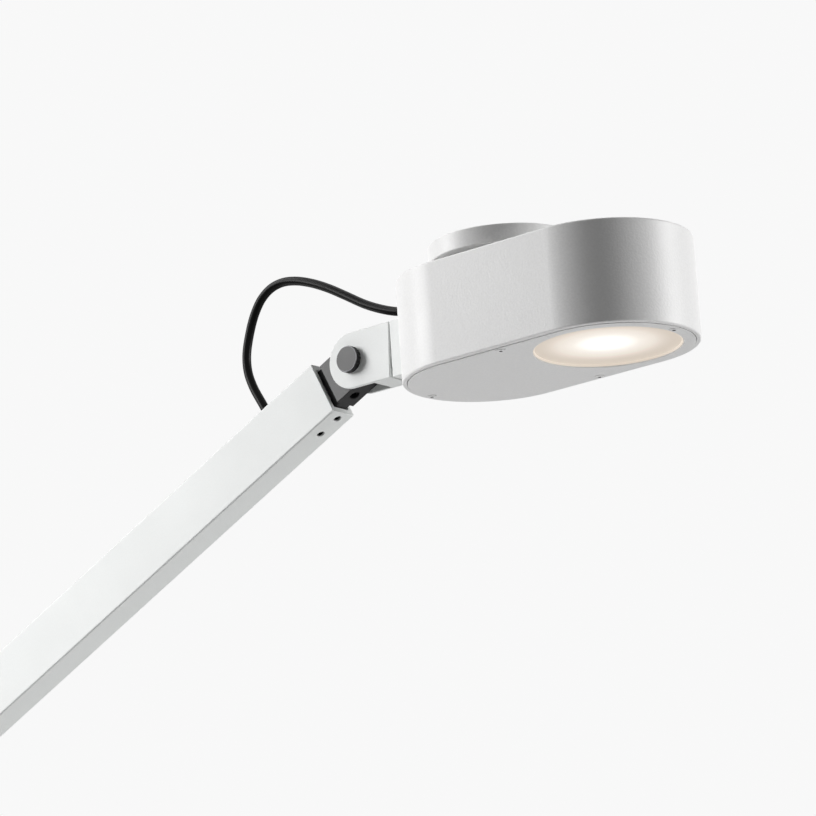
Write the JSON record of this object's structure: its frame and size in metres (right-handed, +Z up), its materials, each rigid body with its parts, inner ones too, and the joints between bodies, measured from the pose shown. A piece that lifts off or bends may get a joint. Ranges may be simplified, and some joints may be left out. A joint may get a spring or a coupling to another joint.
{
  "type": "adjustable arm floor lamp",
  "caption": "Floor lamp with a round base, a rectangular tube post and tilting arm, and a tilting round-ended head with a down light and an up light.",
  "frame": {"origin": "centre of the underside of the base pad, on the floor", "axes": "+Z up along the post; +X the way the arm and head reach; +Y to the side of the hinge pins' heads"},
  "size_m": [0.8329, 0.3, 1.6545],
  "materials": {
    "white_steel": "satin fine-textured white powder coat on steel",
    "white_aluminium": "satin fine-textured white powder coat on aluminium",
    "dark_aluminium": "satin dark grey coat on aluminium",
    "dark_steel": "satin dark grey coat on steel",
    "black_steel": "satin blackened steel",
    "bright_steel": "satin stainless steel",
    "rubber": "matte black rubber",
    "cable_jacket": "gloss black cable jacket",
    "opal": "satin opal diffuser",
    "reflector_white": "gloss white moulding",
    "board_white": "matte white circuit board",
    "driver_case": "matte white driver case",
    "bare_aluminium": "satin bare aluminium",
    "nylon": "matte natural nylon",
    "black_plastic": "matte black plastic"
  },
  "bodies": {
    "stand": {"base_pad": "rubber", "base_plate": "white_steel", "base_bolt_1": "bright_steel", "base_bolt_2": "bright_steel", "post_foot": "dark_steel", "foot_set_screw_1": "black_steel", "foot_set_screw_2": "black_steel", "post_tube": "white_aluminium", "post_set_screw_1": "black_steel", "post_set_screw_2": "black_steel", "lead_gland": "rubber", "post_knuckle": "dark_aluminium", "elbow_clamp_screw": "black_steel", "elbow_washer_near": "nylon", "elbow_washer_far": "nylon"},
    "arm": {"elbow_fork": "white_aluminium", "elbow_pin": "dark_steel", "arm_tube": "white_aluminium", "fork_set_screw_1": "black_steel", "fork_set_screw_2": "black_steel", "arm_set_screw_1": "black_steel", "arm_set_screw_2": "black_steel", "arm_grommet": "rubber", "arm_knuckle": "dark_aluminium", "tilt_clamp_screw": "black_steel", "tilt_washer_near": "nylon", "tilt_washer_far": "nylon", "head_cable": "cable_jacket"},
    "head": {"head_fork": "white_aluminium", "tilt_pin": "dark_steel", "head_block": "white_aluminium", "fork_bolt_1": "bright_steel", "fork_bolt_2": "bright_steel", "bolt_plate": "bright_steel", "head_shell": "white_aluminium", "head_gland": "rubber", "bottom_plate": "white_aluminium", "plate_screw_front": "bright_steel", "plate_screw_rear": "bright_steel", "plate_screw_near": "bright_steel", "plate_screw_far": "bright_steel", "down_lens": "opal", "down_reflector": "reflector_white", "down_led_board": "board_white", "heat_sink": "bare_aluminium", "led_driver": "driver_case", "drum_neck": "dark_aluminium", "drum_housing": "white_aluminium", "up_led_board": "board_white", "up_lens": "opal", "button_switch": "black_plastic"},
    "elbow_knob": {"elbow_knob": "dark_aluminium"},
    "tilt_knob": {"tilt_knob": "dark_aluminium"},
    "dimmer_button": {"dimmer_button": "dark_aluminium"}
  },
  "joints": [
    {"name": "elbow_tilt", "type": "hinge", "parent": "stand", "child": "arm", "pos_m": [-0.07, 0, 1.28], "axis": [0, -1, 0], "range_deg": [-31, 58]},
    {"name": "head_tilt", "type": "hinge", "parent": "arm", "child": "head", "pos_m": [0.44295, 0, 1.59126], "axis": [0, -1, 0], "range_deg": [-64, 70], "deforming": ["head_cable"]},
    {"name": "elbow_knob_turn", "type": "hinge", "parent": "arm", "child": "elbow_knob", "pos_m": [-0.07, 0, 1.28], "axis": [0, -1, 0], "range_deg": [-180, 180]},
    {"name": "tilt_knob_turn", "type": "hinge", "parent": "head", "child": "tilt_knob", "pos_m": [0.44295, 0, 1.59126], "axis": [0, -1, 0], "range_deg": [-180, 180]},
    {"name": "dimmer_press", "type": "slide", "parent": "head", "child": "dimmer_button", "axis": [0.1045, 0, -0.9945], "range_m": [0, 0.001], "stiffness_N_per_m": 400, "springref_m": -0.001}
  ]
}
